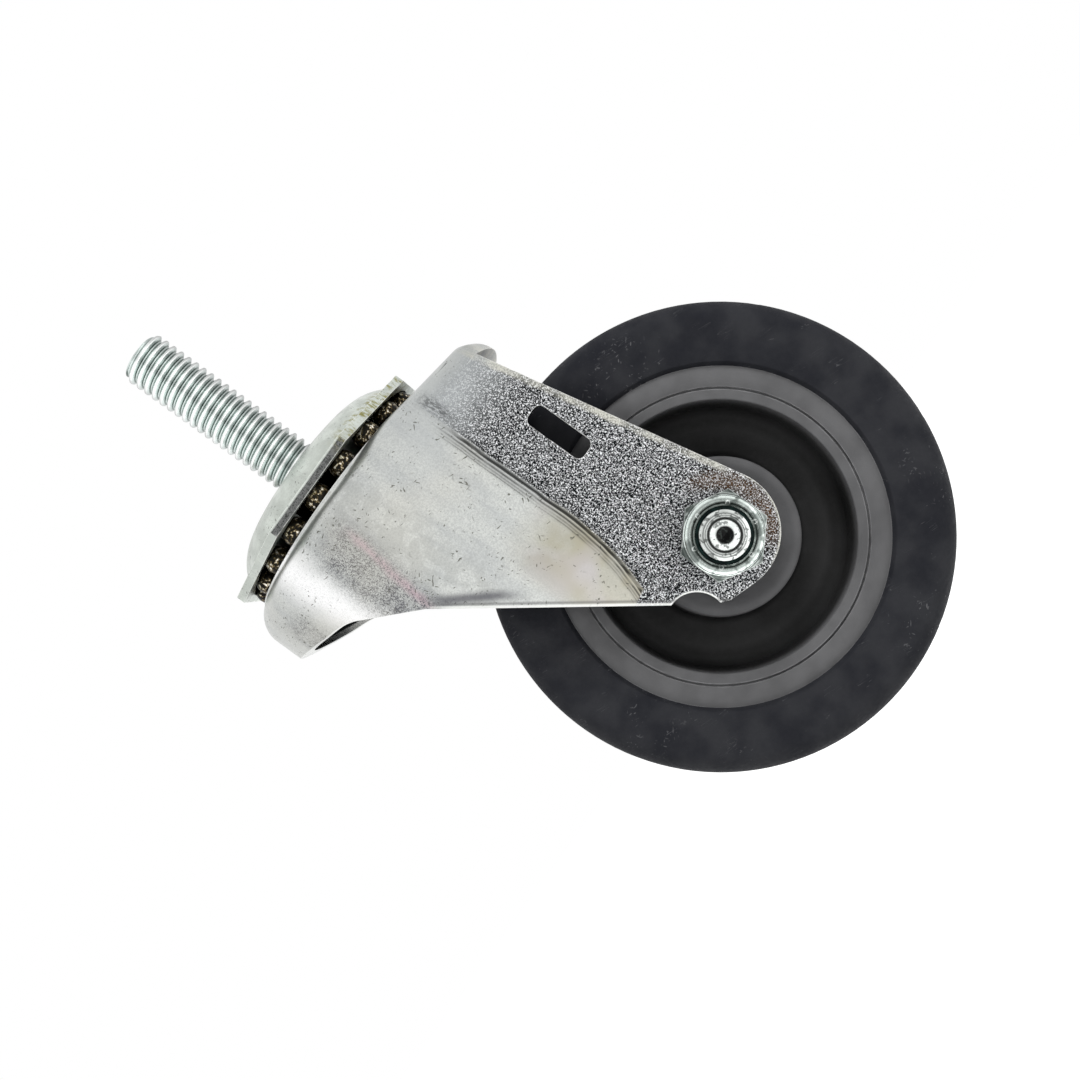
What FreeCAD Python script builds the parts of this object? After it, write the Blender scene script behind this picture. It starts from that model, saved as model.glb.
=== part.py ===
import FreeCAD, Part
import math
import os

# Swivel stem caster. Millimetres, +Z up along the stem, origin on the swivel axis at the seat of
# the stem on its cap. The axle runs along Y, and the wheel trails towards +X.

# Overall
wheel_diameter = 76.2
tread_width = 31.75
wheel_headroom = 14.0           # tread to the underside of the crown
caster_lead = 31.75             # swivel axis to axle

# Threaded stem and kingpin
stem_diameter = 9.525
stem_length = 33.4              # above the seat
stem_chamfer = 1.1
stem_seat_radius = 4.93         # plain seat pressed in the cap, below the thread
kingpin_radius = 6.2
rivet_head_radius = 9.2
rivet_head_height = 3.0
rivet_head_round = 1.2

# Ball races
ball_diameter = 4.7625
race_play = 0.08                # groove radius less ball radius
upper_ball_count = 18
upper_race_radius = 19.2
upper_ball_phase = -92.2        # degrees, one ball just beside the middle of the -Y side
lower_ball_count = 13
lower_race_radius = 11.2
lower_ball_drop = 0.7           # underside of the crown to the middle of the lower balls
cup_floor = 2.1
cup_round = 1.8

# Wrench cap
cap_across_flats = 45.0
cap_sheet = 1.8
cap_rim_thickness = 1.5
cap_height = 7.0                # seat to the underside of the rim
cap_dome_radius = 82.0
cap_shoulder_start = 14.5
cap_shoulder_radius = 9.0
cap_flare_radius = 1.2

# Fork
fork_sheet = 2.5
cap_gap = 2.4                   # underside of the cap's rim to the crown's race
race_rim = 0.24                 # race land outside its groove
crown_radius = 24.6
crown_offset = -0.9             # swivel axis to the centre of the crown's round
crown_bend = 5.0
crown_fall_start = 11.0
crown_fall_angle = 8.5
crown_fall_blend = 40.0
front_reach = 35.7              # swivel axis to the middle of the front lip
front_lip_bow = 3.6             # how far the lip curves back to its corners
front_bend = 2.9
lip_depth = 6.1                 # race to the bottom of the front lip
hub_side_play = 0.35            # each side, between hub and leg
crease_end = 20.7               # swivel axis to where a leg turns flat
crease_outer_bend = 6.0
crease_inner_bend = 2.2
crease_angle = 22.0
kingpin_play = 0.3

# Side outline of a leg, measured from the axle
leg_end_radius = 9.85
leg_end_rise = 0.9
leg_front_top = (0.75, 48.5)
leg_toe = (-7.4, -6.95)
notch_radius = 5.0
notch_centre = (-13.55, -4.85)
back_edge_foot = (-13.55, 0.15)
back_edge_top = (-36.5, 31.1)
skirt_side = (-46.0, 40.4)
skirt_front = (-50.5, 42.0)
skirt_rear = (-58.6, 45.2)
slot_width = 3.7
slot_height = 10.85
slot_corner = 1.2
slot_centre = (-1.65, 30.4)

# Axle
bolt_diameter = 7.94
bolt_play = 0.1                 # bolt to sleeve and to the legs' holes
bolt_end_chamfer = 0.8
bolt_past_nut = 1.5
bolt_dimple_radius = 1.2
bolt_dimple_depth = 0.9
bolt_dimple_cone = 0.5
bolt_ring_groove = (2.3, 2.65)
bolt_ring_depth = 0.3
hex_across_flats = 12.7
hex_turn = 30.0                 # degrees, sets two corners of nut and head upright
bolt_head_height = 5.2
hex_chamfer = 0.9
nut_hex_height = 5.5
nut_height = 7.0
nut_collar_radius = 6.2
nut_collar_round = 0.7
nut_collar_turn = 15.0          # degrees, keeps the collar's seam off the nicks
nut_bevel_radius = 5.3          # the crimped mouth slopes in from here
nut_bevel_depth = 0.45
nut_mouth_radius = 4.6
nut_mouth_depth = 0.8
nut_nick_radius = 0.35          # six nicks in the bevel, one at each corner of the hexagon
nut_nick_spread = 5.05
nut_nick_depth = 0.3
nut_insert_radius = 5.4
nut_insert_height = 1.3
thread_play = 0.02
sleeve_radius = 5.55
sleeve_play = 0.08              # hub bore to sleeve

# Wheel
hub_length = 38.0
boss_radius = 12.7
boss_root_radius = 13.4
web_half_thickness = 4.5
rim_inner_radius = 22.0
rim_root_radius = 21.3
rim_half_width = 15.0
rim_groove_radius = 23.9
rim_groove_width = 0.4
rim_groove_depth = 0.5
rim_ring_crown = 0.45
rim_outer_radius = 27.5
key_height = 2.5                # locking key under the tyre
key_half_width = 8.0
tyre_seam_lip = 0.6
tyre_side_share = 0.52          # widest place of the side, share of the tyre's depth
tyre_shoulder_share = 0.35      # rounding of the shoulder, share of the tyre's depth

# Worked out from the sizes above
ball_radius = ball_diameter / 2
groove_radius = ball_radius + race_play
race_z = -cap_height - cap_gap
axle_z = race_z - fork_sheet - wheel_headroom - wheel_diameter / 2
upper_ball_z = -cap_height - cap_gap / 2
race_outer_radius = upper_race_radius + groove_radius + race_rim
lower_ball_z = race_z - fork_sheet - lower_ball_drop
cup_bottom_z = lower_ball_z - groove_radius - cup_floor
cup_rim_z = lower_ball_z - 0.2
cup_outer_radius = lower_race_radius + groove_radius + 1.5
leg_inner_y = hub_length / 2 + hub_side_play
leg_outer_y = leg_inner_y + fork_sheet
channel_end = caster_lead + leg_end_radius + 5
below_leg_z = axle_z - leg_end_radius - 5
bolt_radius = bolt_diameter / 2
nut_face_y = -leg_outer_y - nut_height
bolt_end_y = nut_face_y - bolt_past_nut


def vec(x, y, z):
    return FreeCAD.Vector(x, y, z)


# A closed wire through corners (a, b, radius), each corner rounded by a tangent arc
def rounded_wire(corners, place):
    def unit(p, q):
        length = math.hypot(q[0] - p[0], q[1] - p[1])
        return (q[0] - p[0]) / length, (q[1] - p[1]) / length

    stations = []
    count = len(corners)
    for index in range(count):
        before = corners[index - 1]
        here = corners[index]
        after = corners[(index + 1) % count]
        radius = here[2] if len(here) > 2 else 0.0
        if radius == 0.0:
            stations.append((here, None, here))
            continue
        back = unit(here, before)
        ahead = unit(here, after)
        half = math.acos(back[0] * ahead[0] + back[1] * ahead[1]) / 2
        reach = radius / math.tan(half)
        middle = unit((0.0, 0.0), (back[0] + ahead[0], back[1] + ahead[1]))
        depth = radius / math.sin(half) - radius
        start = (here[0] + back[0] * reach, here[1] + back[1] * reach)
        mid = (here[0] + middle[0] * depth, here[1] + middle[1] * depth)
        end = (here[0] + ahead[0] * reach, here[1] + ahead[1] * reach)
        stations.append((start, mid, end))

    edges = []
    for index in range(count):
        start, mid, end = stations[index]
        if mid is not None:
            edges.append(Part.Arc(place(*start), place(*mid), place(*end)).toShape())
        following = stations[(index + 1) % count][0]
        if math.hypot(following[0] - end[0], following[1] - end[1]) > 1e-6:
            edges.append(Part.makeLine(place(*end[:2]), place(*following[:2])))
    return Part.Wire(edges)


def on_side(x, z):
    return vec(x, 0, z)


# A point of a leg's outline given from the axle
def from_axle(point):
    return caster_lead + point[0], axle_z + point[1]


# A solid turned about the swivel axis, from corners (radius, z, rounding)
def turned(corners):
    face = Part.Face(rounded_wire(corners, on_side))
    return face.revolve(vec(0, 0, 0), vec(0, 0, 1), 360)


# A solid turned about the axle, from corners (radius, y, rounding)
def turned_on_axle(corners):
    def place(radius, y):
        return vec(caster_lead, y, axle_z + radius)

    face = Part.Face(rounded_wire(corners, place))
    return face.revolve(vec(caster_lead, 0, axle_z), vec(0, 1, 0), 360)


# A prism along Y from corners (x, z, rounding), right across the fork
def side_prism(corners):
    reach = crown_radius + 10
    prism = Part.Face(rounded_wire(corners, on_side)).extrude(vec(0, 2 * reach, 0))
    prism.translate(vec(0, -reach, 0))
    return prism


# A ball's groove, or the sheet pressed round it
def race_torus(ring_radius, z, radius):
    return Part.makeTorus(ring_radius, radius, vec(0, 0, z), vec(0, 0, 1))


def regular_prism(sides, across_flats, start_angle, centre, direction, height):
    corner = across_flats / 2 / math.cos(math.pi / sides)
    points = []
    for index in range(sides + 1):
        angle = math.radians(start_angle) + index * 2 * math.pi / sides
        points.append(vec(corner * math.cos(angle), corner * math.sin(angle), 0))
    prism = Part.Face(Part.makePolygon(points)).extrude(vec(0, 0, height))
    prism.Placement = FreeCAD.Placement(centre, FreeCAD.Rotation(vec(0, 0, 1), direction))
    return prism


# Loose balls evenly round a race, the first at the angle phase
def make_ball_ring(count, ring_radius, z, phase):
    balls = []
    for index in range(count):
        angle = math.radians(phase + index * 360.0 / count)
        centre = vec(ring_radius * math.cos(angle), ring_radius * math.sin(angle), z)
        balls.append(Part.makeSphere(ball_radius, centre))
    return balls


# Height of the dome's underside at a radius near the stem
def cap_underside(radius):
    return math.sqrt((cap_dome_radius - cap_sheet) ** 2 - radius ** 2) - cap_dome_radius


# Stem, kingpin and riveted head in one piece; the thread's major diameter as a plain cylinder
def make_stem():
    thread = stem_diameter / 2
    shoulder_z = cap_underside(kingpin_radius) - thread_play
    head_top_z = cup_bottom_z
    head_bottom_z = head_top_z - rivet_head_height
    return turned([
        (0, stem_length), (thread - stem_chamfer, stem_length), (thread, stem_length - stem_chamfer),
        (thread, 0), (stem_seat_radius, 0), (stem_seat_radius, shoulder_z),
        (kingpin_radius, shoulder_z), (kingpin_radius, head_top_z),
        (rivet_head_radius, head_top_z, 0.4), (rivet_head_radius, head_bottom_z, rivet_head_round),
        (0, head_bottom_z)])


# Domed sheet with a flat eight-sided rim, pressed out over the balls
def make_wrench_cap():
    bore = stem_seat_radius + thread_play
    rim_top_z = cap_rim_thickness - cap_height
    start = math.asin(cap_shoulder_start / cap_dome_radius)
    centre_r = (cap_dome_radius - cap_shoulder_radius) * math.sin(start)
    centre_z = (cap_dome_radius - cap_shoulder_radius) * math.cos(start) - cap_dome_radius
    flare_z = rim_top_z + cap_flare_radius
    end = math.acos((flare_z - centre_z) / (cap_shoulder_radius + cap_flare_radius))
    flare_r = centre_r + (cap_shoulder_radius + cap_flare_radius) * math.sin(end)

    def dome(angle, depth):
        radius = cap_dome_radius - depth
        return on_side(radius * math.sin(angle), radius * math.cos(angle) - cap_dome_radius)

    def shoulder(angle, depth):
        radius = cap_shoulder_radius - depth
        return on_side(centre_r + radius * math.sin(angle), centre_z + radius * math.cos(angle))

    def flare(angle):
        return on_side(flare_r - cap_flare_radius * math.sin(angle),
                       flare_z - cap_flare_radius * math.cos(angle))

    outside = cap_across_flats
    top_bore = math.asin(bore / cap_dome_radius)
    low_bore = math.asin(bore / (cap_dome_radius - cap_sheet))
    edges = [
        Part.Arc(dome(top_bore, 0), dome((top_bore + start) / 2, 0), dome(start, 0)).toShape(),
        Part.Arc(shoulder(start, 0), shoulder((start + end) / 2, 0), shoulder(end, 0)).toShape(),
        Part.Arc(flare(end), flare(end / 2), flare(0)).toShape(),
        Part.makeLine(flare(0), on_side(outside, rim_top_z)),
        Part.makeLine(on_side(outside, rim_top_z), on_side(outside, -cap_height)),
        Part.makeLine(on_side(outside, -cap_height), on_side(upper_race_radius, -cap_height)),
        Part.makeLine(on_side(upper_race_radius, -cap_height), shoulder(end, cap_sheet)),
        Part.Arc(shoulder(end, cap_sheet), shoulder((start + end) / 2, cap_sheet),
                 shoulder(start, cap_sheet)).toShape(),
        Part.Arc(dome(start, cap_sheet), dome((low_bore + start) / 2, cap_sheet),
                 dome(low_bore, cap_sheet)).toShape(),
        Part.makeLine(dome(low_bore, cap_sheet), dome(top_bore, 0))]
    sheet = Part.Face(Part.Wire(edges)).revolve(vec(0, 0, 0), vec(0, 0, 1), 360)
    outline = regular_prism(8, cap_across_flats, 22.5, vec(0, 0, -cap_height - 1), vec(0, 0, 1),
                            cap_height + 2)
    return sheet.common(outline).cut(race_torus(upper_race_radius, upper_ball_z, groove_radius))


# Cup washer under the crown, held up by the riveted head
def make_lower_race():
    bore = kingpin_radius + thread_play
    cup = turned([
        (bore, cup_bottom_z), (cup_outer_radius, cup_bottom_z, cup_round),
        (cup_outer_radius, cup_rim_z, 0.4), (bore, cup_rim_z, 0.3)])
    return cup.cut(race_torus(lower_race_radius, lower_ball_z, groove_radius))


# Plan of the fork taken in by inset: rear round, straight sides, creases, flat parallel legs
def fork_plan(inset):
    turn = math.radians(crease_angle)
    flat_y = leg_outer_y - inset
    inner_bend = crease_inner_bend + inset
    outer_bend = crease_outer_bend - inset
    radius = crown_radius - inset
    joint = (crease_end - inner_bend * math.sin(turn), flat_y + inner_bend * (1 - math.cos(turn)))
    centre = (joint[0] - outer_bend * math.sin(turn), joint[1] - outer_bend * math.cos(turn))
    ahead = centre[0] - crown_offset
    span = math.hypot(ahead, centre[1])
    lean = math.atan2(ahead, centre[1]) - math.acos((radius - outer_bend) / span)

    def on_outer_bend(angle, side):
        return vec(centre[0] + outer_bend * math.sin(angle),
                   side * (centre[1] + outer_bend * math.cos(angle)), 0)

    def on_inner_bend(angle, side):
        return vec(crease_end - inner_bend * math.sin(angle),
                   side * (flat_y + inner_bend * (1 - math.cos(angle))), 0)

    def on_round(angle, side):
        return vec(crown_offset + radius * math.sin(angle), side * radius * math.cos(angle), 0)

    def half(side):
        return [
            Part.Arc(on_round(-math.pi / 2, side), on_round((lean - math.pi / 2) / 2, side),
                     on_round(lean, side)).toShape(),
            Part.makeLine(on_round(lean, side), on_outer_bend(lean, side)),
            Part.Arc(on_outer_bend(lean, side), on_outer_bend((lean + turn) / 2, side),
                     on_outer_bend(turn, side)).toShape(),
            Part.Arc(on_inner_bend(turn, side), on_inner_bend(turn / 2, side),
                     on_inner_bend(0, side)).toShape(),
            Part.makeLine(on_inner_bend(0, side), vec(channel_end, side * flat_y, 0))]

    front = Part.makeLine(vec(channel_end, flat_y, 0), vec(channel_end, -flat_y, 0))
    return Part.Wire(Part.sortEdges(half(1) + [front] + half(-1))[0])


# The whole outside or inside form of the fork, open-ended at the front
def fork_form(inset):
    prism = Part.Face(fork_plan(inset)).extrude(vec(0, 0, -below_leg_z))
    prism.translate(vec(0, 0, below_leg_z))
    fall = math.radians(crown_fall_angle)
    top = race_z - inset
    blend_end = crown_fall_start + crown_fall_blend * math.sin(fall)
    blend_drop = crown_fall_blend * (1 - math.cos(fall))
    mid_x = crown_fall_start + crown_fall_blend * math.sin(fall / 2)
    mid_z = top - crown_fall_blend * (1 - math.cos(fall / 2))
    far = channel_end + 10
    rear = -crown_radius - 10
    far_z = top - blend_drop - (far - blend_end) * math.tan(fall)
    low = below_leg_z - 1
    outline = Part.Wire([
        Part.makeLine(on_side(rear, low), on_side(rear, top)),
        Part.makeLine(on_side(rear, top), on_side(crown_fall_start, top)),
        Part.Arc(on_side(crown_fall_start, top), on_side(mid_x, mid_z),
                 on_side(blend_end, top - blend_drop)).toShape(),
        Part.makeLine(on_side(blend_end, top - blend_drop), on_side(far, far_z)),
        Part.makeLine(on_side(far, far_z), on_side(far, low)),
        Part.makeLine(on_side(far, low), on_side(rear, low))])
    roof = Part.Face(outline).extrude(vec(0, -2 * rear, 0))
    roof.translate(vec(0, rear, 0))
    form = prism.common(roof)
    rim = []
    for edge in form.Edges:
        ends = [edge.valueAt(edge.FirstParameter), edge.valueAt(edge.LastParameter)]
        on_top = all(point.z > race_z - lip_depth for point in ends)
        across = abs(ends[0].x - ends[1].x) < 0.01 and abs(ends[0].y + ends[1].y) < 0.01
        if on_top and not across:
            rim.append(edge)
    return form.makeFillet(crown_bend - inset, rim)


# The same form closed at the front by a curved lip, its outer edges bent round
def crown_form(inset):
    radius = (leg_outer_y ** 2 + front_lip_bow ** 2) / (2 * front_lip_bow)
    centre = front_reach - radius
    drum = Part.makeCylinder(radius - inset, -below_leg_z, vec(centre, 0, below_leg_z))
    form = fork_form(inset).common(drum)
    if inset > 0:
        return form
    rim = []
    for edge in form.Edges:
        spots = [edge.valueAt(edge.FirstParameter), edge.valueAt(edge.LastParameter),
                 edge.valueAt((edge.FirstParameter + edge.LastParameter) / 2)]
        on_drum = all(abs(math.hypot(spot.x - centre, spot.y) - radius) < 0.01 for spot in spots)
        if on_drum and max(spot.z for spot in spots) > below_leg_z + 1:
            rim.append(edge)
    return form.makeFillet(front_bend, rim)


# Side outline of both legs up to the crown
def leg_outline():
    end_centre = from_axle((0.15, leg_end_rise))
    top = from_axle(leg_front_top)
    toe = from_axle(leg_toe)

    # Tangent point on the end round of a line from an outside point
    def tangent(point, side):
        dx = point[0] - end_centre[0]
        dz = point[1] - end_centre[1]
        turn = math.acos(leg_end_radius / math.hypot(dx, dz))
        angle = math.atan2(dz, dx) + side * turn
        return (end_centre[0] + leg_end_radius * math.cos(angle),
                end_centre[1] + leg_end_radius * math.sin(angle)), angle

    front_end, front_angle = tangent(top, -1)
    toe_end, toe_angle = tangent(toe, 1)
    middle_angle = (front_angle + toe_angle) / 2
    if toe_angle > front_angle:
        middle_angle = (front_angle + toe_angle - 2 * math.pi) / 2
    middle = (end_centre[0] + leg_end_radius * math.cos(middle_angle),
              end_centre[1] + leg_end_radius * math.sin(middle_angle))
    notch = from_axle(notch_centre)
    notch_toe_angle = math.radians(-12)
    notch_toe = (notch[0] + notch_radius * math.cos(notch_toe_angle),
                 notch[1] + notch_radius * math.sin(notch_toe_angle))
    notch_foot = from_axle(back_edge_foot)
    notch_mid_angle = math.radians(39)
    notch_mid = (notch[0] + notch_radius * math.cos(notch_mid_angle),
                 notch[1] + notch_radius * math.sin(notch_mid_angle))
    back_top = from_axle(back_edge_top)
    inner_top = (back_top[0], 0)
    front_top = (crease_end + 2, 0)
    front_corner = (crease_end + 2, top[1])
    edges = [
        Part.makeLine(on_side(*front_top), on_side(*front_corner)),
        Part.makeLine(on_side(*front_corner), on_side(*top)),
        Part.makeLine(on_side(*top), on_side(*front_end)),
        Part.Arc(on_side(*front_end), on_side(*middle), on_side(*toe_end)).toShape(),
        Part.makeLine(on_side(*toe_end), on_side(*toe)),
        Part.makeLine(on_side(*toe), on_side(*notch_toe)),
        Part.Arc(on_side(*notch_toe), on_side(*notch_mid), on_side(*notch_foot)).toShape(),
        Part.makeLine(on_side(*notch_foot), on_side(*back_top)),
        Part.makeLine(on_side(*back_top), on_side(*inner_top)),
        Part.makeLine(on_side(*inner_top), on_side(*front_top))]
    return Part.Wire(edges)


# What is kept of the crown: above the skirt's lower edge at the rear and above the front lip
def crown_keep():
    back_top = from_axle(back_edge_top)
    lip_z = race_z - lip_depth
    return side_prism([
        (-crown_radius - 10, 0), (-crown_radius - 10, axle_z + skirt_rear[1]),
        from_axle(skirt_rear), (*from_axle(skirt_front), 6.0), (*from_axle(skirt_side), 8.0),
        (*back_top, 0.0), (crease_end - 6, back_top[1]), (crease_end + 2, lip_z, 2.0),
        (front_reach + 10, lip_z), (front_reach + 10, 0)])


def slot_prism():
    x, z = from_axle(slot_centre)
    half_width = slot_width / 2
    half_height = slot_height / 2
    return side_prism([
        (x - half_width, z - half_height, slot_corner), (x + half_width, z - half_height, slot_corner),
        (x + half_width, z + half_height, slot_corner), (x - half_width, z + half_height, slot_corner)])


# Races pressed in the crown: sheet round both grooves, raised land, grooves and kingpin hole
def press_races(fork):
    underside = race_z - fork_sheet
    reach = groove_radius + 2 * fork_sheet
    land = Part.makeCylinder(race_outer_radius, fork_sheet, vec(0, 0, underside))
    below = Part.makeCylinder(race_outer_radius, reach, vec(0, 0, race_z - reach))
    above = Part.makeCylinder(race_outer_radius, reach, vec(0, 0, underside))
    bulge = race_torus(upper_race_radius, upper_ball_z, groove_radius + fork_sheet).common(below)
    bump = race_torus(lower_race_radius, lower_ball_z, groove_radius + fork_sheet).common(above)
    fork = fork.fuse([land, bulge, bump])
    hole = Part.makeCylinder(kingpin_radius + kingpin_play, 2 * reach, vec(0, 0, race_z - reach))
    upper_groove = race_torus(upper_race_radius, upper_ball_z, groove_radius)
    lower_groove = race_torus(lower_race_radius, lower_ball_z, groove_radius)
    return fork.cut([hole, upper_groove, lower_groove])


# The fork, one pressed sheet: crown, skirt, front lip and two legs
def make_fork():
    reach = crown_radius + 10
    legs_prism = Part.Face(leg_outline()).extrude(vec(0, 2 * reach, 0))
    legs_prism.translate(vec(0, -reach, 0))
    legs = fork_form(0).cut(fork_form(fork_sheet)).common(legs_prism)
    crown = crown_form(0).cut(crown_form(fork_sheet)).common(crown_keep())
    fork = press_races(legs.fuse(crown))
    axle_hole = Part.makeCylinder(bolt_radius + bolt_play, 2 * reach, vec(caster_lead, -reach, axle_z),
                                  vec(0, 1, 0))
    fork = fork.cut([slot_prism(), axle_hole]).removeSplitter()
    return fork


# Hex bolt with a chamfered end, its dimple and ring standing past the nut
def make_axle_bolt():
    head_y = leg_outer_y + bolt_head_height
    centre = vec(caster_lead, leg_outer_y, axle_z)
    head = regular_prism(6, hex_across_flats, hex_turn, centre, vec(0, 1, 0), bolt_head_height)
    corner = hex_across_flats / 2 / math.cos(math.pi / 6)
    head = head.common(turned_on_axle([
        (0, leg_outer_y), (corner, leg_outer_y), (corner, head_y - hex_chamfer),
        (corner - hex_chamfer * 2, head_y), (0, head_y)]))
    shank = turned_on_axle([
        (0, leg_outer_y), (bolt_radius, leg_outer_y), (bolt_radius, bolt_end_y + bolt_end_chamfer),
        (bolt_radius - bolt_end_chamfer, bolt_end_y), (bolt_ring_groove[1], bolt_end_y),
        (bolt_ring_groove[1], bolt_end_y + bolt_ring_depth),
        (bolt_ring_groove[0], bolt_end_y + bolt_ring_depth), (bolt_ring_groove[0], bolt_end_y),
        (bolt_dimple_radius, bolt_end_y), (bolt_dimple_radius, bolt_end_y + bolt_dimple_depth),
        (0, bolt_end_y + bolt_dimple_depth + bolt_dimple_cone)])
    return head.fuse(shank).removeSplitter()


def make_axle_sleeve():
    bore = bolt_radius + bolt_play
    return turned_on_axle([
        (bore, -leg_inner_y), (sleeve_radius, -leg_inner_y, 0.3), (sleeve_radius, leg_inner_y, 0.3),
        (bore, leg_inner_y)])


# Lock nut: chamfered hexagon, round crimped collar, pocket for the nylon ring
def make_lock_nut():
    base_y = -leg_outer_y
    hex_y = base_y - nut_hex_height
    corner = hex_across_flats / 2 / math.cos(math.pi / 6)
    bore = bolt_radius + thread_play
    centre = vec(caster_lead, base_y, axle_z)
    body = regular_prism(6, hex_across_flats, hex_turn, centre, vec(0, -1, 0), nut_hex_height)
    body = body.common(turned_on_axle([
        (0, base_y), (corner - hex_chamfer, base_y), (corner, base_y - hex_chamfer / 2),
        (corner, hex_y + hex_chamfer), (nut_collar_radius - hex_chamfer / 2, hex_y), (0, hex_y)]))
    insert_top_y = nut_face_y + nut_mouth_depth
    insert_base_y = insert_top_y + nut_insert_height
    collar = turned_on_axle([
        (bore, hex_y + 1), (nut_collar_radius, hex_y + 1),
        (nut_collar_radius, nut_face_y, nut_collar_round), (nut_bevel_radius, nut_face_y),
        (nut_mouth_radius, nut_face_y + nut_bevel_depth), (nut_mouth_radius, insert_top_y),
        (nut_insert_radius, insert_top_y), (nut_insert_radius, insert_base_y), (bore, insert_base_y)])
    hole = Part.makeCylinder(bore, nut_height, vec(caster_lead, nut_face_y, axle_z), vec(0, 1, 0))
    pocket = turned_on_axle([
        (0, insert_top_y), (nut_insert_radius, insert_top_y), (nut_insert_radius, insert_base_y),
        (0, insert_base_y)])
    collar.rotate(vec(caster_lead, 0, axle_z), vec(0, 1, 0), nut_collar_turn)
    nut = body.cut([hole, pocket]).fuse(collar).removeSplitter()
    nicks = []
    for index in range(6):
        angle = math.radians(hex_turn + index * 60)
        x = caster_lead + nut_nick_spread * math.cos(angle)
        z = axle_z + nut_nick_spread * math.sin(angle)
        start = vec(x, nut_face_y - 1, z)
        nicks.append(Part.makeCylinder(nut_nick_radius, 1 + nut_nick_depth, start, vec(0, 1, 0)))
    return nut.cut(nicks)


def make_nut_insert():
    insert_top_y = nut_face_y + nut_mouth_depth
    insert_base_y = insert_top_y + nut_insert_height
    bore = bolt_radius + thread_play
    return turned_on_axle([
        (bore, insert_base_y), (nut_insert_radius, insert_base_y), (nut_insert_radius, insert_top_y),
        (bore, insert_top_y, 0.25)])


# Mirrors one side's corners (radius, y, rounding) to close a profile symmetric about y = 0
def both_sides(corners):
    mirrored = [(corner[0], -corner[1], *corner[2:]) for corner in reversed(corners)]
    return corners + mirrored


# Where the tyre is moulded on: ring edge, cylinder and locking key, shared by hub and tyre
def bond_corners():
    seam_y = rim_half_width - rim_ring_crown / 2
    return [
        (rim_outer_radius, seam_y), (rim_outer_radius, key_half_width),
        (rim_outer_radius + key_height, key_half_width)]


# Moulded hub: boss, thin web deep between boss and rim, rim ring with its flash groove
def make_wheel_hub():
    bore = sleeve_radius + sleeve_play
    ring_start = rim_groove_radius + rim_groove_width / 2
    ring_middle = (ring_start + rim_outer_radius) / 2
    side = [
        (bore, hub_length / 2, 0.4), (boss_radius, hub_length / 2, 0.6),
        (boss_root_radius, web_half_thickness, 1.4), (rim_root_radius, web_half_thickness, 1.6),
        (rim_inner_radius, rim_half_width, 0.3), (rim_groove_radius - rim_groove_width / 2, rim_half_width),
        (rim_groove_radius - rim_groove_width / 2, rim_half_width - rim_groove_depth),
        (ring_start, rim_half_width - rim_groove_depth), (ring_start, rim_half_width),
        (ring_middle, rim_half_width + rim_ring_crown, 4.0)] + bond_corners()
    return turned_on_axle(both_sides(side))


# Tyre: rounded shoulders, flat tread, lipped down to the hub's ring at the seam
def make_tyre():
    half = tread_width / 2
    bond = bond_corners()
    depth = wheel_diameter / 2 - rim_outer_radius
    side = list(reversed(bond)) + [
        (rim_outer_radius + tyre_seam_lip, half - tyre_seam_lip / 3, 0.3),
        (rim_outer_radius + tyre_side_share * depth, half, 8.0),
        (wheel_diameter / 2, half, tyre_shoulder_share * depth)]
    return turned_on_axle(both_sides(side))


def save(name, shape):
    if len(shape.Solids) == 1:
        shape = shape.Solids[0]
    shape.exportStep(os.path.join("parts", name + ".step"))
    box = shape.BoundBox
    print(name, "solids", len(shape.Solids), "valid", shape.isValid(), "volume", round(shape.Volume, 1),
          "x", round(box.XMin, 2), round(box.XMax, 2), "y", round(box.YMin, 2), round(box.YMax, 2),
          "z", round(box.ZMin, 2), round(box.ZMax, 2))


def main():
    os.makedirs("parts", exist_ok=True)
    save("threaded_stem", make_stem())
    save("wrench_cap", make_wrench_cap())
    save("lower_race", make_lower_race())
    upper = make_ball_ring(upper_ball_count, upper_race_radius, upper_ball_z, upper_ball_phase)
    for index, ball in enumerate(upper):
        save("upper_ball_%02d" % (index + 1), ball)
    lower = make_ball_ring(lower_ball_count, lower_race_radius, lower_ball_z, 0.0)
    for index, ball in enumerate(lower):
        save("lower_ball_%02d" % (index + 1), ball)
    save("fork", make_fork())
    save("axle_bolt", make_axle_bolt())
    save("axle_sleeve", make_axle_sleeve())
    save("lock_nut", make_lock_nut())
    save("nut_insert", make_nut_insert())
    save("wheel_hub", make_wheel_hub())
    save("tyre", make_tyre())


main()
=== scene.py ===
import math

import bpy
from mathutils import Matrix, Vector


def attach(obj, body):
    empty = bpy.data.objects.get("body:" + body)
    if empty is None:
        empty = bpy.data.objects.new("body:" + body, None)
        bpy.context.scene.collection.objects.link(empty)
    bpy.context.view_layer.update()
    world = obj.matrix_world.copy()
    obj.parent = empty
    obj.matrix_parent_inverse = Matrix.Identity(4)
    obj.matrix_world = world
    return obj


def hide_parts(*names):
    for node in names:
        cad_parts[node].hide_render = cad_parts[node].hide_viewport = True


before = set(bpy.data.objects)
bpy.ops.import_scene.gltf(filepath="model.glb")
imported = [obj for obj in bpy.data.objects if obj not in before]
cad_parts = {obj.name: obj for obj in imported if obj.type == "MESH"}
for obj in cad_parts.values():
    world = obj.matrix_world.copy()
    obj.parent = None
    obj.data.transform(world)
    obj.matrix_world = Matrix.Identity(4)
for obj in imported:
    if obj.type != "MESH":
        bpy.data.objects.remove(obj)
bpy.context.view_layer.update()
print("stage: frame loaded,", len(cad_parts), "nodes")

mm = 0.001
axle = Vector((0.03175, 0.0, -0.064))  # axle centre at rest, swivel axis and seat at 0


# Camera: the photograph's own view, square frame

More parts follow.
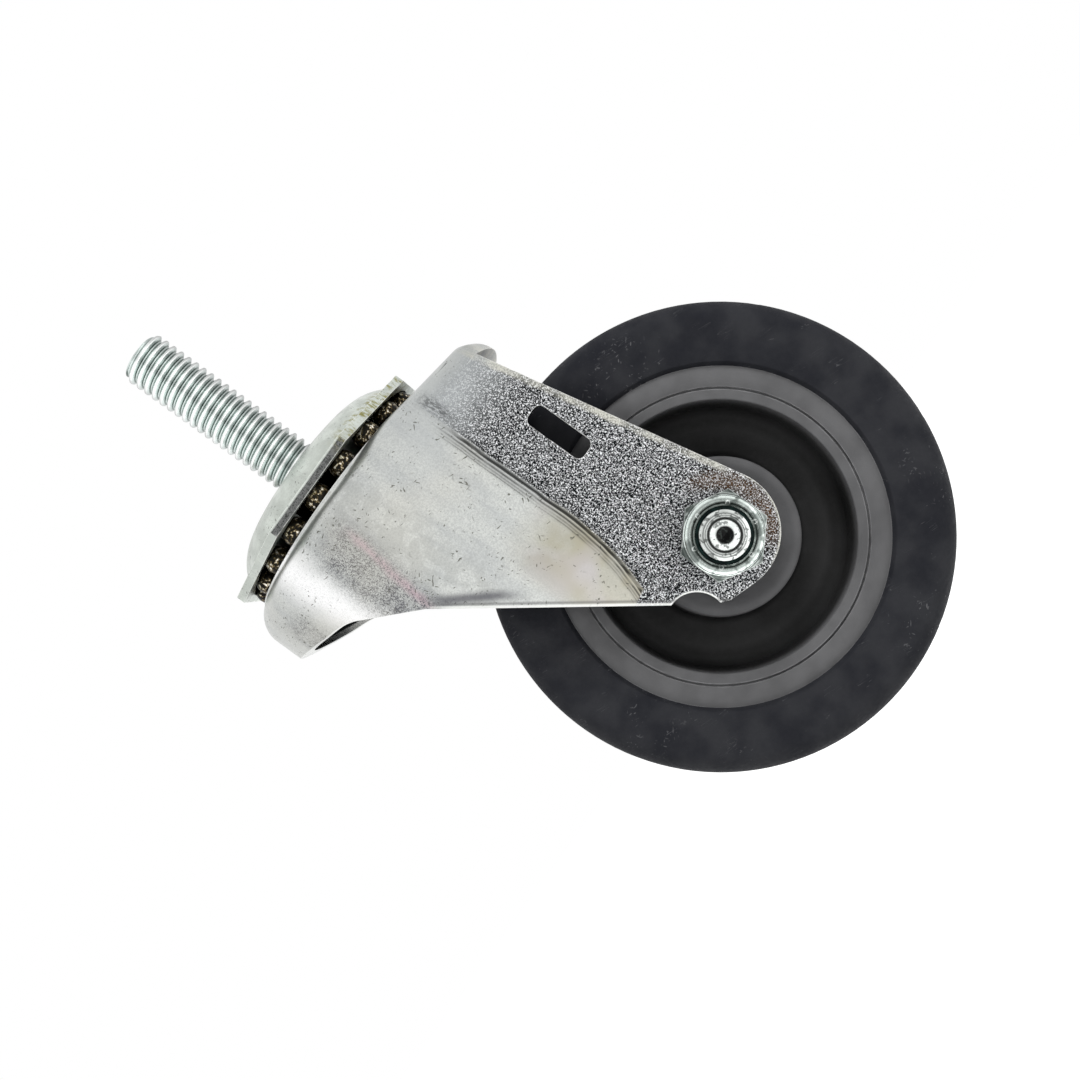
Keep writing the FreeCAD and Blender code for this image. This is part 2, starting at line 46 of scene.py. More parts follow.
camSet = {
    "place": (0.01893, -0.3382, -0.0538),
    "yaw": -0.8,  # degrees, the swing of the view towards -X
    "pitch": 2.3,
    "roll": -54.31,
    "focal": 66.96,
    "sensor": 36.0,
}


def makeCamera():
    yaw = math.radians(camSet["yaw"])
    pitch = math.radians(camSet["pitch"])
    roll = math.radians(camSet["roll"])
    ahead = Vector((math.cos(pitch) * math.sin(yaw), math.cos(pitch) * math.cos(yaw), math.sin(pitch)))
    right = Vector((math.cos(yaw), -math.sin(yaw), 0.0))
    up = right.cross(ahead)
    frameRight = right * math.cos(roll) + up * math.sin(roll)
    frameUp = up * math.cos(roll) - right * math.sin(roll)
    data = bpy.data.cameras.new("viewCamera")
    data.lens = camSet["focal"]
    data.sensor_width = camSet["sensor"]
    data.clip_start = 0.01
    cam = bpy.data.objects.new("viewCamera", data)
    bpy.context.collection.objects.link(cam)
    turn = Matrix((frameRight, frameUp, -ahead)).transposed().to_4x4()
    cam.matrix_world = Matrix.Translation(camSet["place"]) @ turn
    bpy.context.scene.camera = cam
    return frameRight, frameUp, -ahead


frameRight, frameUp, toCamera = makeCamera()
bpy.context.scene.view_settings.view_transform = "Standard"
print("stage: camera set")


# Small helpers for node trees

def addNode(tree, kind, at=(0, 0), **settings):
    node = tree.nodes.new(kind)
    node.location = at
    for key, value in settings.items():
        setattr(node, key, value)
    return node


def feed(tree, source, target):
    tree.links.new(source, target)


def mathNode(tree, operation, first, second=None, third=None):
    node = addNode(tree, "ShaderNodeMath", operation=operation)
    for index, value in enumerate((first, second, third)):
        if value is None:
            continue
        if isinstance(value, (int, float)):
            node.inputs[index].default_value = value
        else:
            feed(tree, value, node.inputs[index])
    return node.outputs[0]


def product(tree, *values):
    result = values[0]
    for value in values[1:]:
        result = mathNode(tree, "MULTIPLY", result, value)
    return result


def mixColor(tree, factor, first, second, blend="MIX"):
    node = addNode(tree, "ShaderNodeMix", data_type="RGBA", blend_type=blend)
    for socket, value in ((node.inputs[0], factor), (node.inputs[6], first), (node.inputs[7], second)):
        if isinstance(value, (int, float)):
            socket.default_value = value
        elif isinstance(value, tuple):
            socket.default_value = (*value, 1.0)
        else:
            feed(tree, value, socket)
    return node.outputs[2]


def shadeBy(tree, color, bands):
    # A colour darkened or brightened by bands round 1
    return mixColor(tree, 1.0, color, bands, "MULTIPLY")


def lay(tree, color, tone, *masks):
    # A tone over a colour, as strong as the masks' product
    return mixColor(tree, product(tree, *masks), color, tone)


def mapRange(tree, value, low, high, toLow=0.0, toHigh=1.0, smooth=True):
    node = addNode(tree, "ShaderNodeMapRange")
    node.interpolation_type = "SMOOTHSTEP" if smooth else "LINEAR"
    feed(tree, value, node.inputs["Value"])
    node.inputs["From Min"].default_value = low
    node.inputs["From Max"].default_value = high
    node.inputs["To Min"].default_value = toLow
    node.inputs["To Max"].default_value = toHigh
    return node.outputs[0]


def ramp(tree, value, *stops):
    node = addNode(tree, "ShaderNodeValToRGB")
    feed(tree, value, node.inputs[0])
    elements = node.color_ramp.elements
    while len(elements) < len(stops):
        elements.new(0.5)
    for element, (place, color) in zip(elements, stops):
        element.position = place
        element.color = (*color, 1.0) if isinstance(color, tuple) else (color, color, color, 1.0)
    return node.outputs[0]


def noise(tree, vector, scale, detail=2.0, roughness=0.5, stretch=(1.0, 1.0, 1.0), turn=(0.0, 0.0, 0.0)):
    mapping = addNode(tree, "ShaderNodeMapping")
    mapping.inputs["Scale"].default_value = stretch
    mapping.inputs["Rotation"].default_value = turn
    feed(tree, vector, mapping.inputs["Vector"])
    node = addNode(tree, "ShaderNodeTexNoise")
    node.inputs["Scale"].default_value = scale
    node.inputs["Detail"].default_value = detail
    node.inputs["Roughness"].default_value = roughness
    feed(tree, mapping.outputs[0], node.inputs["Vector"])
    return node.outputs["Fac"]


def newMaterial(name):
    mat = bpy.data.materials.new(name)
    mat.use_nodes = True
    tree = mat.node_tree
    tree.nodes.clear()
    shader = addNode(tree, "ShaderNodeBsdfPrincipled", (600, 0))
    out = addNode(tree, "ShaderNodeOutputMaterial", (900, 0))
    feed(tree, shader.outputs[0], out.inputs[0])
    coords = addNode(tree, "ShaderNodeTexCoord", (-900, 0))
    return mat, tree, shader, coords.outputs["Object"]


def bumpInto(tree, shader, height, distance, strength=1.0):
    node = addNode(tree, "ShaderNodeBump", (400, -300))
    node.inputs["Strength"].default_value = strength
    node.inputs["Distance"].default_value = distance
    feed(tree, height, node.inputs["Height"])
    feed(tree, node.outputs[0], shader.inputs["Normal"])


def roughInto(tree, shader, mask, spread, base):
    feed(tree, mathNode(tree, "MULTIPLY_ADD", mask, spread, base), shader.inputs["Roughness"])


def metalInto(tree, shader, covered, metal):
    # Metal where it is bare, matt where grease or shade covers it
    feed(tree, mathNode(tree, "MULTIPLY_ADD", covered, -metal, metal), shader.inputs["Metallic"])
    feed(tree, mathNode(tree, "MULTIPLY_ADD", covered, -0.5, 0.5), shader.inputs["Specular IOR Level"])


# Node groups that several materials share

def newGroup(name, inputs, outputs):
    tree = bpy.data.node_groups.new(name, "ShaderNodeTree")
    for label, kind, value in inputs:
        socket = tree.interface.new_socket(label, in_out="INPUT", socket_type=kind)
        if value is not None:
            socket.default_value = value
    for label, kind in outputs:
        tree.interface.new_socket(label, in_out="OUTPUT", socket_type=kind)
    start = addNode(tree, "NodeGroupInput", (-900, 0))
    end = addNode(tree, "NodeGroupOutput", (900, 0))
    return tree, start, end


def placeGroup(tree, group, vector, **values):
    node = addNode(tree, "ShaderNodeGroup", node_tree=group)
    feed(tree, vector, node.inputs["Vector"])
    for key, value in values.items():
        node.inputs[key].default_value = value
    return node


def makeGrainGroup():
    # Zinc crystals: fine speckle, curly worms and soft larger patches
    tree, start, end = newGroup(
        "zincGrain",
        [("Vector", "NodeSocketVector", None), ("Fine", "NodeSocketFloat", 2600.0),
         ("Patch", "NodeSocketFloat", 420.0)],
        [("Speckle", "NodeSocketFloat"), ("Worms", "NodeSocketFloat"), ("Patches", "NodeSocketFloat")])
    fine = addNode(tree, "ShaderNodeTexNoise", (-500, 200))
    fine.inputs["Detail"].default_value = 3.0
    fine.inputs["Roughness"].default_value = 0.65
    feed(tree, start.outputs["Vector"], fine.inputs["Vector"])
    feed(tree, start.outputs["Fine"], fine.inputs["Scale"])
    curl = addNode(tree, "ShaderNodeTexNoise", (-500, 0))
    curl.inputs["Detail"].default_value = 1.0
    curl.inputs["Distortion"].default_value = 0.9
    feed(tree, start.outputs["Vector"], curl.inputs["Vector"])
    feed(tree, mathNode(tree, "MULTIPLY", start.outputs["Fine"], 0.85), curl.inputs["Scale"])
    patch = addNode(tree, "ShaderNodeTexNoise", (-500, -200))
    patch.inputs["Detail"].default_value = 2.0
    feed(tree, start.outputs["Vector"], patch.inputs["Vector"])
    feed(tree, start.outputs["Patch"], patch.inputs["Scale"])
    ridge = mathNode(tree, "ABSOLUTE", mathNode(tree, "SUBTRACT", curl.outputs["Fac"], 0.5))
    feed(tree, mapRange(tree, fine.outputs["Fac"], 0.36, 0.64), end.inputs["Speckle"])
    feed(tree, mapRange(tree, ridge, 0.012, 0.085), end.inputs["Worms"])
    feed(tree, mapRange(tree, patch.outputs["Fac"], 0.32, 0.68), end.inputs["Patches"])
    return tree


def makeScratchGroup():
    # Hair scratches in loose families that lean one way, and short pits lying every way
    tree, start, end = newGroup(
        "fineScratches",
        [("Vector", "NodeSocketVector", None), ("Density", "NodeSocketFloat", 0.5),
         ("Lean", "NodeSocketFloat", 0.6)],
        [("Mask", "NodeSocketFloat"), ("Pits", "NodeSocketFloat")])
    lean = addNode(tree, "ShaderNodeVectorRotate", rotation_type="Y_AXIS")
    feed(tree, start.outputs["Vector"], lean.inputs["Vector"])
    feed(tree, start.outputs["Lean"], lean.inputs["Angle"])
    lines = noise(tree, lean.outputs[0], 900.0, detail=1.0, roughness=0.4, stretch=(2.6, 0.6, 0.16))
    thin = mathNode(tree, "ABSOLUTE", mathNode(tree, "SUBTRACT", lines, 0.5))
    line = mapRange(tree, thin, 0.0, 0.012, 1.0, 0.0)
    family = noise(tree, lean.outputs[0], 260.0, detail=1.0, roughness=0.5)
    some = mathNode(tree, "GREATER_THAN", family, start.outputs["Density"])
    feed(tree, mathNode(tree, "MULTIPLY", line, some), end.inputs["Mask"])
    pits = 0.0
    for turn in (0.35, 1.35, 2.3):
        turned = addNode(tree, "ShaderNodeVectorRotate", rotation_type="Y_AXIS")
        feed(tree, start.outputs["Vector"], turned.inputs["Vector"])
        turned.inputs["Angle"].default_value = turn
        dash = noise(tree, turned.outputs[0], 2300.0, detail=0.0, roughness=0.5, stretch=(1.5, 1.0, 0.50))
        pits = mathNode(tree, "MAXIMUM", mapRange(tree, dash, 0.765, 0.80), pits)
    feed(tree, mathNode(tree, "MULTIPLY", pits, mapRange(tree, family, 0.42, 0.58)), end.inputs["Pits"])
    return tree


def makeEdgeGroup():
    # Painted edge highlights: where a rounded normal leaves the real one
    tree, start, end = newGroup(
        "paintedEdgeHighlights",
        [("Vector", "NodeSocketVector", None), ("Radius", "NodeSocketFloat", 0.0003)],
        [("Mask", "NodeSocketFloat")])
    bevel = addNode(tree, "ShaderNodeBevel", samples=6)
    feed(tree, start.outputs["Radius"], bevel.inputs["Radius"])
    geometry = addNode(tree, "ShaderNodeNewGeometry")
    dot = addNode(tree, "ShaderNodeVectorMath", operation="DOT_PRODUCT")
    feed(tree, bevel.outputs[0], dot.inputs[0])
    feed(tree, geometry.outputs["Normal"], dot.inputs[1])
    soft = noise(tree, start.outputs["Vector"], 700.0, detail=2.0)
    edge = mapRange(tree, dot.outputs["Value"], 0.985, 0.82)
    feed(tree, mathNode(tree, "MULTIPLY", edge, mapRange(tree, soft, 0.25, 0.6)), end.inputs["Mask"])
    return tree


grainGroup = makeGrainGroup()
scratchGroup = makeScratchGroup()
edgeGroup = makeEdgeGroup()
print("stage: shared node groups made")


# Where on the part: heights, distances and zones

def axes(tree, vector):
    split = addNode(tree, "ShaderNodeSeparateXYZ")
    feed(tree, vector, split.inputs[0])
    return split.outputs[0], split.outputs[1], split.outputs[2]


def away(tree, first, second, centre=(0.0, 0.0)):
    # Distance from a centre in a plane
    one = mathNode(tree, "SUBTRACT", first, centre[0])
    two = mathNode(tree, "SUBTRACT", second, centre[1])
    squares = mathNode(tree, "MULTIPLY_ADD", two, two, mathNode(tree, "MULTIPLY", one, one))
    return mathNode(tree, "SQRT", squares)


def beyond(tree, x, z, point, normal):
    # Signed distance past a straight edge of the side outline
    first = mathNode(tree, "MULTIPLY_ADD", x, normal[0], -point[0] * normal[0] - point[1] * normal[1])
    return mathNode(tree, "MULTIPLY_ADD", z, normal[1], first)


def zone(tree, value, low, high, soft):
    # 1 between low and high, fading to 0 over soft on either side of both
    return product(tree, mapRange(tree, value, low - soft, low + soft),
                   mapRange(tree, value, high + soft, high - soft))


# Materials

forkTones = {
    "smooth": (0.62, 0.635, 0.61),
    "bend": (0.44, 0.46, 0.465),
    "panelDark": (0.005, 0.0055, 0.0065),
    "panelLight": (0.80, 0.815, 0.83),
    "mottleDark": (0.085, 0.085, 0.10),
    "glare": (0.98, 0.98, 0.98),
    "yellow": (0.38, 0.36, 0.280),
    "lilac": (0.50, 0.47, 0.54),
    "rose": (0.52, 0.38, 0.42),
    "rust": (0.085, 0.048, 0.026),
    "pit": (0.10, 0.10, 0.08),
    "edge": (0.80, 0.81, 0.79),
    "frontEdge": (0.56, 0.555, 0.495),
    "inside": (0.016, 0.019, 0.020),
    "grease": (0.008, 0.006, 0.004),
    "speckle": (0.30, 0.31, 0.31),
    "paintedDullReflection": (0.36, 0.37, 0.355),
    "cream": (0.64, 0.60, 0.50),
    "lipEnd": (0.06, 0.075, 0.065),
    "scratch": (0.30, 0.29, 0.26),
    "underEdge": (0.12, 0.12, 0.12),
}

forkMarks = {  # metres from the swivel axis and the seat
    # outline: points, normals and radii
    "crownCentre": -0.0009,
    "crownInside": 0.02235,  # inner radius of the crown's round
    "legInside": (0.0224, 0.0197),  # inner face of a leg at the rear and ahead of the crease
    "frontTop": (0.0325, -0.0155),
    "frontNormal": (0.981, 0.1945),
    "backFoot": (0.0182, -0.06385),
    "backNormal": (-0.8033, -0.5957),
    "endCentre": (0.0319, -0.0631),
    "notch": (0.0182, -0.06885),
    "notchRadius": 0.00525,
    "lipRear": (-0.02685, -0.0188),
    "lipNormal": (-0.356, -0.9345),
    "fade": 0.0001,  # how softly an outline's tone begins
    # rear and bends: a fade runs from 0 at its first number to 1 at its second, a zone has low, high and soft
    "glare": (-0.0140, -0.0085, 0.0026),
    "paintedDullReflection": (-0.0045, 0.0060, 0.0030),
    "shade": (-0.0060, 0.0022, 0.0024),
    "shadeTop": (-0.0105, -0.0170),
    "rearShade": (-0.0215, -0.0178, 0.0014),
    "rearShadeTop": (-0.0135, -0.0180),
    "streak": (0.0001, 0.0013, 0.0008),
    "streakHeights": (-0.0335, -0.0165, 0.0025),
    "triangleTop": (-0.0350, -0.0440),
    "triangleRear": (0.0070, 0.0125),
    "bendRear": (0.0080, 0.0200),
    "bendFoot": (-0.0260, -0.0150),
    "lipEnds": (0.0318, 0.0332),
    "lipSides": (0.0135, 0.0175),
    # flat panel and crease
    "creaseWaver": 0.0006,
    "heightWaver": 0.004,
    "footSlope": -0.157,
    "creaseFall": (-0.0430, -0.0590, 0.0, 0.0550),  # heights, and the root of how far it runs back
    "crease": (0.0206, 0.0212),
    "footLine": (-0.0614, -0.0618),
    "panelTop": (-0.0090, -0.0135),
    "panelPaler": (-0.0240, -0.0115, 0.0, 0.80),
    "redRing": (0.0068, 0.0094, 0.0010),
    "redAhead": (0.0335, 0.0375),
    "linesAcross": (0.0184, 0.0218),
    "linesTop": (-0.0135, -0.0215, 0.10, 1.0),
    "lines": ((0.0, 0.50), (0.10, 0.44), (0.16, 0.20), (0.20, 0.42), (0.28, 0.24), (0.34, 0.44), (0.42, 0.05),
              (0.47, 0.30), (0.52, 0.52), (0.56, 0.06), (0.64, 0.03), (0.70, 0.16), (0.75, 0.55), (0.80, 0.20),
              (0.90, 0.36), (1.0, 0.50)),
    "wrinkles": (0.0208, 0.0228, 0.0008),
    "wrinkleHeights": (-0.0185, -0.0125, 0.0020),
    # edges
    "frontEdge": (-0.0010, -0.0003),
    "frontEdgeFoot": (-0.0600, -0.0560),
    "endEdge": (0.0096, 0.0101, 0.0002),
    "endEdgeTop": (-0.0600, -0.0620),
    "endEdgeRear": (0.0310, 0.0360),
    "backEdge": (-0.0005, -0.0003),
    "backEdgeRear": (-0.0050, -0.0020),
    "backShadow": (-0.0009, -0.0005, 0.0002),
    "tail": (-0.0022, -0.0009, 0.0006),
    "tailLength": (-0.0030, 0.0050, 0.0020),
    # inside of the channel
    "wallAcross": (0.0095, 0.0206),  # where the inner wall comes in from the rear to the leg
    "wallSkin": (0.0002, 0.0000),
    "insideTop": (-0.0120, -0.0126),
    "roundAhead": (0.0110, 0.0100),
    "flatRear": (0.0090, 0.0100),
    "flatAhead": (0.0290, 0.0285),
    "insideAbove": (-0.0007, -0.0010),
    "grease": (-0.0125, -0.0070, 0.0218),
}


greaseSet = {"grain": 500.0, "ragged": 0.0014, "softRadius": 0.0005, "softHeight": 0.0003}


def raceGrease(tree, vector, lowZ, highZ, radius):
    # Black grease between the two races, inside a radius and between two heights
    s = greaseSet
    x, y, z = axes(tree, vector)
    ragged = mathNode(tree, "MULTIPLY_ADD", noise(tree, vector, s["grain"]), s["ragged"], away(tree, x, y))
    inside = mapRange(tree, ragged, radius, radius - s["softRadius"])
    above = mapRange(tree, z, lowZ, lowZ + s["softHeight"])
    below = mapRange(tree, z, highZ, highZ - s["softHeight"])
    return product(tree, inside, above, below)


def smoothSteel(tree, spot, x, z, side, grain, wide):
    # Rear and bends: soft bands, painted reflections (mottled shade, glare and a duller band), tints,
    # scratches and pits
    tones = forkTones
    marks = forkMarks
    worms = grain.outputs["Worms"]
    patches = grain.outputs["Patches"]
    bands = noise(tree, spot, 260.0, detail=3.0, roughness=0.6, stretch=(1.4, 1.0, 0.3), turn=(0.0, 0.5, 0.0))
    color = lay(tree, tones["smooth"], tones["bend"], mapRange(tree, bands, 0.38, 0.72, 0.0, 0.55))
    color = lay(tree, color, tones["speckle"], grain.outputs["Speckle"], 0.42)
    glare = zone(tree, mathNode(tree, "MULTIPLY_ADD", wide, 0.003, x), *marks["glare"])
    color = lay(tree, color, tones["glare"], glare, mapRange(tree, worms, 0.0, 0.5, 0.6, 1.0))
    # Painted reflection: a duller, patchy darker band across the rear
    dullReflectionMask = zone(tree, x, *marks["paintedDullReflection"])
    color = lay(tree, color, tones["paintedDullReflection"], dullReflectionMask, mapRange(tree, patches, 0.2, 0.8), 0.40)

    # Mottled shade ahead of the glare and at the skirt's rear edge, with a rose line beside it
    slant = mathNode(tree, "MULTIPLY_ADD", z, -0.10, x)
    slant = mathNode(tree, "MULTIPLY_ADD", wide, 0.0024, slant)
    mottle = mathNode(tree, "MULTIPLY_ADD", patches, 0.35, product(tree, worms, 0.65))
    shade = product(tree, zone(tree, slant, *marks["shade"]), mapRange(tree, z, *marks["shadeTop"]), 0.95)
    rear = product(tree, zone(tree, x, *marks["rearShade"]), mapRange(tree, z, *marks["rearShadeTop"]), 0.75)
    shaded = mathNode(tree, "MAXIMUM", shade, rear)
    color = lay(tree, color, tones["mottleDark"], shaded, mapRange(tree, mottle, 0.84, 0.30, 0.14, 1.0))
    streak = product(tree, zone(tree, slant, *marks["streak"]), zone(tree, z, *marks["streakHeights"]))
    color = lay(tree, color, tones["rose"], streak, mapRange(tree, mottle, 0.1, 0.7), 0.75)

    # Warm and lilac tints in the triangle above the notch, a faint cream cast, painted shade on the bends
    triangle = product(tree, mapRange(tree, z, *marks["triangleTop"]),
                       mapRange(tree, x, *marks["triangleRear"]))
    color = lay(tree, color, tones["yellow"], triangle, mapRange(tree, wide, 0.38, 0.60, 0.60, 1.0))
    tint = mapRange(tree, noise(tree, spot, 110.0, detail=1.0), 0.50, 0.70)
    color = lay(tree, color, tones["lilac"], triangle, tint, 0.45)
    faint = mapRange(tree, noise(tree, spot, 60.0, detail=1.0), 0.40, 0.66)
    color = lay(tree, color, tones["cream"], faint, 0.2)
    bend = product(tree, mapRange(tree, x, *marks["bendRear"]), mapRange(tree, z, *marks["bendFoot"]))
    color = lay(tree, color, tones["bend"], bend, 0.5)
    # Painted shade at the front lip's ends
    lips = product(tree, mapRange(tree, x, *marks["lipEnds"]), mapRange(tree, side, *marks["lipSides"]))
    color = lay(tree, color, tones["lipEnd"], lips, mapRange(tree, patches, 0.2, 0.8, 0.5, 1.0))
    scratches = placeGroup(tree, scratchGroup, spot, Density=0.60, Lean=0.75)
    color = lay(tree, color, tones["scratch"], scratches.outputs["Mask"], 0.35)
    return lay(tree, color, tones["pit"], scratches.outputs["Pits"], 0.85)


def panelSteel(tree, x, height, ring, grain):
    # Flat panel ahead of the crease, rough with zinc crystals whose glints are painted as near-black and
    # near-white speckle (painted reflection), lighter towards the crown
    tones = forkTones
    marks = forkMarks
    worms = grain.outputs["Worms"]
    grit = mathNode(tree, "MULTIPLY_ADD", grain.outputs["Speckle"], 0.45, product(tree, worms, 0.55))
    grit = mathNode(tree, "POWER", mapRange(tree, grit, 0.42, 0.97), 2.6)
    color = lay(tree, tones["panelDark"], tones["panelLight"], grit)
    color = lay(tree, color, tones["bend"], mapRange(tree, height, *marks["panelPaler"]))
    reddish = product(tree, zone(tree, ring, *marks["redRing"]), mapRange(tree, x, *marks["redAhead"]))
    return lay(tree, color, tones["rust"], reddish, mapRange(tree, worms, 0.80, 0.30, 0.35, 1.0))


def creaseLines(tree, spot, x, z, color, across, height, foot):
    # Painted shade and painted highlight lines where the legs are folded flat, and a few wrinkles at their top
    marks = forkMarks
    lines = ramp(tree, mapRange(tree, across, *marks["linesAcross"], smooth=False), *marks["lines"])
    lines = product(tree, lines, 2.0)
    broken = noise(tree, spot, 700.0, detail=2.0, roughness=0.6, stretch=(1.0, 1.0, 0.22))
    broken = mapRange(tree, broken, 0.32, 0.56, 0.50, 1.0)
    strength = product(tree, mapRange(tree, height, *marks["linesTop"]), broken,
                       mapRange(tree, foot, 1.0, 0.0))
    color = lay(tree, color, shadeBy(tree, color, lines), strength)
    wrinkles = noise(tree, spot, 2400.0, detail=3.0, roughness=0.6, stretch=(1.6, 1.0, 0.45),
                     turn=(0.0, 0.5, 0.0))
    wrinkled = product(tree, zone(tree, x, *marks["wrinkles"]), zone(tree, z, *marks["wrinkleHeights"]))
    return lay(tree, color, forkTones["panelDark"], wrinkled, mapRange(tree, wrinkles, 0.40, 0.60), 0.6)


def sheetEdges(tree, spot, x, z, color, ring, panel, wide, grain):
    # Pale rolled edges at the front and round the leg's end, and a painted highlight on the notch's edge
    tones = forkTones
    marks = forkMarks
    front = beyond(tree, x, z, marks["frontTop"], marks["frontNormal"])
    front = mathNode(tree, "MULTIPLY_ADD", noise(tree, spot, 420.0, detail=2.0), 0.0007, front)
    straight = product(tree, mapRange(tree, front, *marks["frontEdge"]),
                       mapRange(tree, z, *marks["frontEdgeFoot"]))
    end = product(tree, zone(tree, ring, *marks["endEdge"]), mapRange(tree, z, *marks["endEdgeTop"]),
                  mapRange(tree, x, *marks["endEdgeRear"]))
    outline = product(tree, mathNode(tree, "MAXIMUM", straight, end), panel)
    color = lay(tree, color, tones["frontEdge"], outline, mapRange(tree, wide, 0.35, 0.60, 0.25, 0.90),
                mapRange(tree, grain.outputs["Speckle"], 0.1, 0.6, 0.55, 1.0))
    notch = mapRange(tree, away(tree, x, z, marks["notch"]),
                     marks["notchRadius"] + marks["fade"], marks["notchRadius"] - marks["fade"])
    color = lay(tree, color, tones["edge"], panel, notch, 0.9)

    # A painted shadow line, a painted shadow band beside it and a painted highlight line at the back edge, and
    # painted edge highlights all round
    back = beyond(tree, x, z, marks["backFoot"], marks["backNormal"])
    along = mapRange(tree, x, *marks["backEdgeRear"])
    color = lay(tree, color, tones["underEdge"], zone(tree, back, *marks["backShadow"]), along, 0.6)
    tail = zone(tree, mathNode(tree, "MULTIPLY_ADD", x, 0.12, back), *marks["tail"])
    color = lay(tree, color, tones["mottleDark"], tail, zone(tree, x, *marks["tailLength"]), 0.8)
    color = lay(tree, color, tones["edge"], mapRange(tree, back, *marks["backEdge"]), along, 0.8)
    edges = placeGroup(tree, edgeGroup, spot, Radius=0.00030)
    return lay(tree, color, tones["edge"], edges.outputs["Mask"], 0.8)


def channelInside(tree, x, y, z, side, across):
    # The unlit inner faces: 1 inside the crown's round and between the legs
    marks = forkMarks
    crown = away(tree, x, y, (marks["crownCentre"], 0.0))
    crown = mapRange(tree, crown, marks["crownInside"] + marks["fade"], marks["crownInside"] - marks["fade"])
    inRound = product(tree, crown, mapRange(tree, x, *marks["roundAhead"]))
    wall = mapRange(tree, across, *marks["wallAcross"], *marks["legInside"], smooth=False)
    inner = mathNode(tree, "SUBTRACT", side, wall)
    inFlat = product(tree, mapRange(tree, inner, *marks["wallSkin"]), mapRange(tree, x, *marks["flatRear"]),
                     mapRange(tree, x, *marks["flatAhead"]))
    lip = beyond(tree, x, z, marks["lipRear"], marks["lipNormal"])
    return product(tree, mathNode(tree, "MAXIMUM", inRound, inFlat), mapRange(tree, z, *marks["insideTop"]),
                   mapRange(tree, lip, *marks["insideAbove"]))


def makeForkMaterial():
    # Pressed and plated sheet: smooth rear, rough flat panel, crease, edges, dark inside
    tones = forkTones
    marks = forkMarks
    mat, tree, shader, spot = newMaterial("platedFork")
    x, y, z = axes(tree, spot)
    side = mathNode(tree, "ABSOLUTE", y)
    grain = placeGroup(tree, grainGroup, spot, Fine=3700.0, Patch=420.0)
    wide = noise(tree, spot, 160.0, detail=2.0)
    color = smoothSteel(tree, spot, x, z, side, grain, wide)

    # Where the crease lies, and how far the rough panel reaches ahead of it
    fall = mapRange(tree, z, *marks["creaseFall"], smooth=False)
    drift = mathNode(tree, "MULTIPLY", fall, fall)
    across = mathNode(tree, "MULTIPLY_ADD", wide, marks["creaseWaver"], mathNode(tree, "ADD", x, drift))
    foot = mapRange(tree, mathNode(tree, "MULTIPLY_ADD", x, marks["footSlope"], z), *marks["footLine"])
    ahead = mathNode(tree, "MAXIMUM", mapRange(tree, across, *marks["crease"]), foot)
    height = mathNode(tree, "MULTIPLY_ADD", wide, marks["heightWaver"], z)
    panel = product(tree, ahead, mapRange(tree, height, *marks["panelTop"]))
    ring = away(tree, x, z, marks["endCentre"])
    color = lay(tree, color, panelSteel(tree, x, height, ring, grain), panel)
    color = creaseLines(tree, spot, x, z, color, across, height, foot)
    color = sheetEdges(tree, spot, x, z, color, ring, panel, wide, grain)

    # The unlit inside of the channel, and the black grease of the races
    inside = channelInside(tree, x, y, z, side, across)
    color = lay(tree, color, tones["inside"], inside)
    grease = raceGrease(tree, spot, *marks["grease"])
    color = lay(tree, color, tones["grease"], grease)
    feed(tree, color, shader.inputs["Base Color"])
    roughInto(tree, shader, panel, spread=0.16, base=0.30)
    metalInto(tree, shader, mathNode(tree, "MAXIMUM", grease, inside), metal=0.94)
    fine = product(tree, grain.outputs["Worms"], mathNode(tree, "MULTIPLY_ADD", panel, 0.90, 0.08))
    bumpInto(tree, shader, fine, distance=0.00004, strength=0.6)
    return mat


sheetTones = {
    "cap": (0.64, 0.68, 0.63),
    "race": (0.50, 0.50, 0.47),
    "scratch": (0.16, 0.16, 0.15),
    "pit": (0.08, 0.08, 0.07),
    "tornDark": (0.008, 0.008, 0.009),
    "tornLight": (0.13, 0.13, 0.13),
    "ochre": (0.22, 0.20, 0.03),
    "edge": (0.84, 0.86, 0.82),
    "flatSide": (0.02236, 0.02246),  # the torn flats begin here, to either side
    "flatHeights": (-0.0070, -0.0058, 0.00012),
    "ochreRear": (0.0060, 0.0120),
    "ochreTop": (-0.0034, -0.0050),
    "ochreSide": (0.0010, -0.0040),
    "capGrease": (-0.0105, -0.0050, 0.0198),
    "raceGrease": (-0.0160, -0.0110, 0.0145),
}


